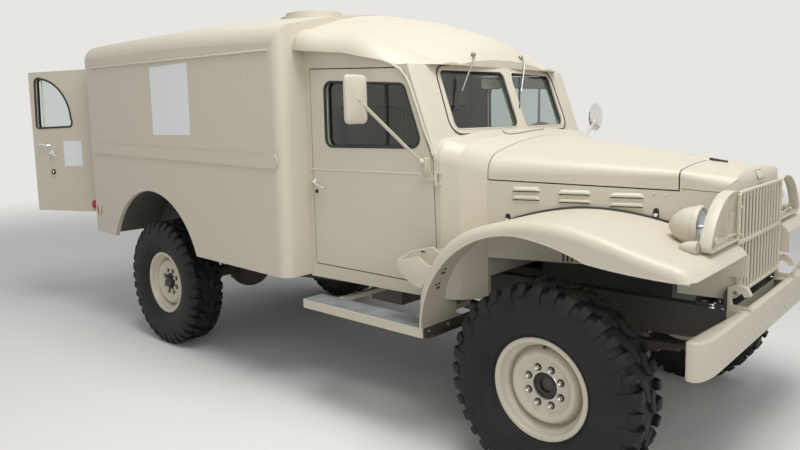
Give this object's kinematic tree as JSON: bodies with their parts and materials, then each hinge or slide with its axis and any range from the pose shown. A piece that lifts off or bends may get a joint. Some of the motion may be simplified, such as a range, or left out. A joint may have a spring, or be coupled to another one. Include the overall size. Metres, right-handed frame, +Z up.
{
  "type": "military ambulance truck",
  "caption": "Closed military ambulance truck with steered front wheels, spare in a side recess, opening cab, rear and hood panels and benches in a hollow load space.",
  "frame": {"origin": "on the ground, under the middle of the outline with the right rear door open as in the picture", "axes": "+X forward, +Y to the left, +Z up"},
  "size_m": [5.4205, 2.536, 2.3359],
  "materials": {
    "body_paint": "satin",
    "lamp_paint": "satin",
    "frame_paint": "matte",
    "axle_paint": "matte",
    "engine_block": "matte",
    "radiator_core": "matte",
    "exhaust_steel": "matte",
    "floor_boards": "matte",
    "seat_cloth": "matte",
    "wheel_plastic": "satin",
    "tyre_rubber": "matte",
    "window_glass": "gloss"
  },
  "bodies": {
    "truck": {"frame": "frame_paint", "front_bumper": "body_paint", "front_axle": "axle_paint", "rear_axle": "axle_paint", "leaf_springs": "axle_paint", "engine": "engine_block", "driveline": "axle_paint", "radiator": "radiator_core", "exhaust": "exhaust_steel", "fuel_tank": "frame_paint", "grille_guard": "body_paint", "nose_shell": "body_paint", "hood_sides": "body_paint", "headlamps": "lamp_paint", "front_fenders": "body_paint", "running_boards": "body_paint", "load_deck": "floor_boards", "cowl": "body_paint", "windshield_frame": "body_paint", "windshield_glass": "window_glass", "cab_sides": "body_paint", "body_side_left": "body_paint", "body_side_right": "body_paint", "partition": "body_paint", "floor": "floor_boards", "roof": "body_paint", "rear_frame": "body_paint", "seat_frames": "frame_paint", "seat_pads": "seat_cloth", "bench_frames": "frame_paint", "bench_pads": "seat_cloth", "dashboard": "body_paint", "rear_step": "frame_paint", "rim_spare": "body_paint", "tyre_spare": "tyre_rubber"},
    "wheel_front_right": {"rim_front_right": "body_paint", "tyre_front_right": "tyre_rubber"},
    "wheel_front_left": {"rim_front_left": "body_paint", "tyre_front_left": "tyre_rubber"},
    "wheel_rear_right": {"rim_rear_right": "body_paint", "tyre_rear_right": "tyre_rubber"},
    "wheel_rear_left": {"rim_rear_left": "body_paint", "tyre_rear_left": "tyre_rubber"},
    "knuckle_right": {"knuckle_right": "axle_paint"},
    "knuckle_left": {"knuckle_left": "axle_paint"},
    "steering_wheel": {"steering_wheel": "wheel_plastic"},
    "door_right": {"door_right": "body_paint", "door_glass_right": "window_glass", "mirror_right": "body_paint"},
    "door_left": {"door_left": "body_paint", "door_glass_left": "window_glass", "mirror_left": "body_paint"},
    "rear_door_right": {"rear_door_right": "body_paint", "rear_glass_right": "window_glass"},
    "rear_door_left": {"rear_door_left": "body_paint", "rear_glass_left": "window_glass"},
    "hood_right": {"hood_right": "body_paint"},
    "hood_left": {"hood_left": "body_paint"}
  },
  "joints": [
    {"name": "wheel_rear_right_spin", "type": "hinge", "parent": "truck", "child": "wheel_rear_right", "pos_m": [-1.043, -0.8225, 0.445], "axis": [0, 1, 0], "continuous": true},
    {"name": "wheel_rear_left_spin", "type": "hinge", "parent": "truck", "child": "wheel_rear_left", "pos_m": [-1.043, 0.8225, 0.445], "axis": [0, 1, 0], "continuous": true},
    {"name": "knuckle_right_steer", "type": "hinge", "parent": "truck", "child": "knuckle_right", "pos_m": [2.03, -0.65, 0.445], "axis": [0, 0, 1], "range_deg": [-28, 28]},
    {"name": "knuckle_left_steer", "type": "hinge", "parent": "truck", "child": "knuckle_left", "pos_m": [2.03, 0.65, 0.445], "axis": [0, 0, 1], "range_deg": [-28, 28]},
    {"name": "wheel_front_right_spin", "type": "hinge", "parent": "knuckle_right", "child": "wheel_front_right", "pos_m": [2.03, -0.8225, 0.445], "axis": [0, 1, 0], "continuous": true},
    {"name": "wheel_front_left_spin", "type": "hinge", "parent": "knuckle_left", "child": "wheel_front_left", "pos_m": [2.03, 0.8225, 0.445], "axis": [0, 1, 0], "continuous": true},
    {"name": "steering_wheel_turn", "type": "hinge", "parent": "truck", "child": "steering_wheel", "pos_m": [1.13934, 0.372, 1.38598], "axis": [-0.6966, 0, 0.7174], "range_deg": [-450, 450]},
    {"name": "door_right_swing", "type": "hinge", "parent": "truck", "child": "door_right", "pos_m": [1.371, -0.76299, 1.25], "axis": [0, 0, 1], "range_deg": [0, 65]},
    {"name": "door_left_swing", "type": "hinge", "parent": "truck", "child": "door_left", "pos_m": [1.371, 0.76299, 1.25], "axis": [0, 0, -1], "range_deg": [0, 65]},
    {"name": "rear_door_right_swing", "type": "hinge", "parent": "truck", "child": "rear_door_right", "pos_m": [-1.94, -0.83, 1.45], "axis": [0, 0, 1], "range_deg": [-112, 15]},
    {"name": "rear_door_left_swing", "type": "hinge", "parent": "truck", "child": "rear_door_left", "pos_m": [-1.94, 0.83, 1.45], "axis": [0, 0, -1], "range_deg": [0, 125]},
    {"name": "hood_right_lift", "type": "hinge", "parent": "truck", "child": "hood_right", "pos_m": [1.56, -0.003, 1.475], "axis": [0.99, 0, -0.1408], "range_deg": [-80, 0]},
    {"name": "hood_left_lift", "type": "hinge", "parent": "truck", "child": "hood_left", "pos_m": [1.56, 0.003, 1.475], "axis": [0.99, 0, -0.1408], "range_deg": [0, 80]}
  ],
  "couplings": [
    {"joint": "knuckle_left_steer", "follows": "knuckle_right_steer", "ratio": 1},
    {"joint": "steering_wheel_turn", "follows": "knuckle_right_steer", "ratio": 16}
  ]
}
